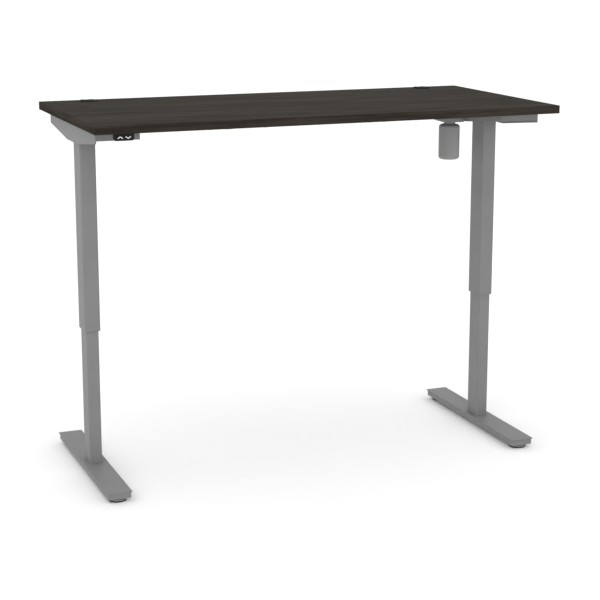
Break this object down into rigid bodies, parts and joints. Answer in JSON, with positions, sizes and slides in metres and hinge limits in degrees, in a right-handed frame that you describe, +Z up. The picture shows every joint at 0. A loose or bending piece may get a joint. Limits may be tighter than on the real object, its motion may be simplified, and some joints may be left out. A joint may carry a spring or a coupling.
{
  "type": "height adjustable standing desk",
  "caption": "Electric height-adjustable standing desk: dark wood-grain top on a grey two-column telescopic frame with long flat feet, motor under the right side and a small up/down switch.",
  "frame": {"origin": "on the floor, under the middle of the desktop", "axes": "+X along the desktop to the user's right, -Y towards the user, +Z up"},
  "size_m": [1.5, 0.725, 1.1486],
  "materials": {
    "board": "dark brown-grey melamine with a faint wood grain, satin",
    "edge_band": "dark brown wood-grain edge banding, satin",
    "frame_paint": "mid-grey powder coat, fine texture",
    "motor_paint": "mid-grey powder coat, fine texture",
    "glide_paint": "mid-grey painted steel disc",
    "glide_rubber": "black moulded rubber",
    "black_plastic": "fine-grained black moulded plastic",
    "arrow_print": "white printed chevron",
    "liner_plastic": "off-white acetal",
    "zinc_steel": "bright zinc-plated steel",
    "cast_metal": "die casting, unpainted",
    "nut_brass": "turned brass"
  },
  "bodies": {
    "base_right": {"inner_tube_right": "frame_paint", "upper_slider_right": "liner_plastic", "foot_plate_right": "frame_paint", "foot_channel_right": "frame_paint", "foot_bolts_right": "zinc_steel", "screw_nut_right": "nut_brass"},
    "top_frame": {"desktop_board": "board", "edge_bands": "edge_band", "grommet_liner_left": "black_plastic", "grommet_liner_right": "black_plastic", "bracket_left": "frame_paint", "bracket_right": "frame_paint", "bracket_cover_left": "frame_paint", "bracket_cover_right": "frame_paint", "rail_front": "frame_paint", "rail_rear": "frame_paint", "outer_tube_left": "frame_paint", "outer_tube_right": "frame_paint", "lower_liner_left": "liner_plastic", "lower_liner_right": "liner_plastic", "gear_case_left": "cast_metal", "gear_case_right": "cast_metal", "screw_bearing_left": "zinc_steel", "screw_bearing_right": "zinc_steel", "drive_case": "frame_paint", "motor_lid": "motor_paint", "motor_cover": "motor_paint", "motor_core": "zinc_steel", "control_box": "black_plastic", "hand_switch": "black_plastic", "top_screws": "zinc_steel", "rail_bolts": "zinc_steel"},
    "base_left": {"inner_tube_left": "frame_paint", "upper_slider_left": "liner_plastic", "foot_plate_left": "frame_paint", "foot_channel_left": "frame_paint", "foot_bolts_left": "zinc_steel", "screw_nut_left": "nut_brass"},
    "screw_left": {"lead_screw_left": "zinc_steel", "screw_bevel_left": "zinc_steel"},
    "screw_right": {"lead_screw_right": "zinc_steel", "screw_bevel_right": "zinc_steel"},
    "cross_shaft": {"drive_shaft": "zinc_steel", "shaft_collars": "zinc_steel", "shaft_bevels": "zinc_steel"},
    "motor_output": {"motor_pinion": "zinc_steel"},
    "up_key": {"up_button": "black_plastic", "up_arrow": "arrow_print"},
    "down_key": {"down_button": "black_plastic", "down_arrow": "arrow_print"},
    "cap_left": {"grommet_cap_left": "black_plastic"},
    "cap_right": {"grommet_cap_right": "black_plastic"},
    "glide_front_left": {"glide_stem_front_left": "glide_paint", "glide_pad_front_left": "glide_rubber"},
    "glide_front_right": {"glide_stem_front_right": "glide_paint", "glide_pad_front_right": "glide_rubber"},
    "glide_rear_left": {"glide_stem_rear_left": "glide_paint", "glide_pad_rear_left": "glide_rubber"},
    "glide_rear_right": {"glide_stem_rear_right": "glide_paint", "glide_pad_rear_right": "glide_rubber"}
  },
  "joints": [
    {"name": "desk_lift", "type": "slide", "parent": "base_right", "child": "top_frame", "axis": [0, 0, 1], "range_m": [-0.425, 0]},
    {"name": "left_leg_lift", "type": "slide", "parent": "top_frame", "child": "base_left", "axis": [0, 0, 1], "range_m": [-0.0001, 0.4251]},
    {"name": "screw_turn_right", "type": "hinge", "parent": "top_frame", "child": "screw_right", "pos_m": [0.688, 0.018, 1.079], "axis": [0, 0, 1], "range_deg": [-1, 15301]},
    {"name": "screw_turn_left", "type": "hinge", "parent": "top_frame", "child": "screw_left", "pos_m": [-0.688, 0.018, 1.079], "axis": [0, 0, 1], "range_deg": [-15301, 1]},
    {"name": "shaft_turn", "type": "hinge", "parent": "top_frame", "child": "cross_shaft", "pos_m": [0, 0.018, 1.079], "axis": [1, 0, 0], "range_deg": [-15301, 1]},
    {"name": "motor_turn", "type": "hinge", "parent": "top_frame", "child": "motor_output", "pos_m": [0.557, 0.018, 1.079], "axis": [0, 0, 1], "range_deg": [-15301, 1]},
    {"name": "up_press", "type": "slide", "parent": "top_frame", "child": "up_key", "axis": [0, 1, 0], "range_m": [0, 0.001], "stiffness_N_per_m": 700, "springref_m": -0.0005},
    {"name": "down_press", "type": "slide", "parent": "top_frame", "child": "down_key", "axis": [0, 1, 0], "range_m": [0, 0.001], "stiffness_N_per_m": 700, "springref_m": -0.0005},
    {"name": "cap_lift_left", "type": "slide", "parent": "top_frame", "child": "cap_left", "axis": [0, 0, 1], "range_m": [0, 0.03]},
    {"name": "cap_lift_right", "type": "slide", "parent": "top_frame", "child": "cap_right", "axis": [0, 0, 1], "range_m": [0, 0.03]},
    {"name": "glide_turn_front_left", "type": "slide", "parent": "base_left", "child": "glide_front_left", "axis": [0, 0, 1], "range_m": [-0.008, 0]},
    {"name": "glide_turn_front_right", "type": "slide", "parent": "base_right", "child": "glide_front_right", "axis": [0, 0, 1], "range_m": [-0.008, 0]},
    {"name": "glide_turn_rear_left", "type": "slide", "parent": "base_left", "child": "glide_rear_left", "axis": [0, 0, 1], "range_m": [-0.008, 0]},
    {"name": "glide_turn_rear_right", "type": "slide", "parent": "base_right", "child": "glide_rear_right", "axis": [0, 0, 1], "range_m": [-0.008, 0]}
  ],
  "couplings": [
    {"joint": "left_leg_lift", "follows": "desk_lift", "ratio": -1},
    {"joint": "screw_turn_right", "follows": "desk_lift", "rad_per_m": -628.32},
    {"joint": "screw_turn_left", "follows": "desk_lift", "rad_per_m": 628.32},
    {"joint": "shaft_turn", "follows": "desk_lift", "rad_per_m": 628.32},
    {"joint": "motor_turn", "follows": "desk_lift", "rad_per_m": 628.32}
  ]
}
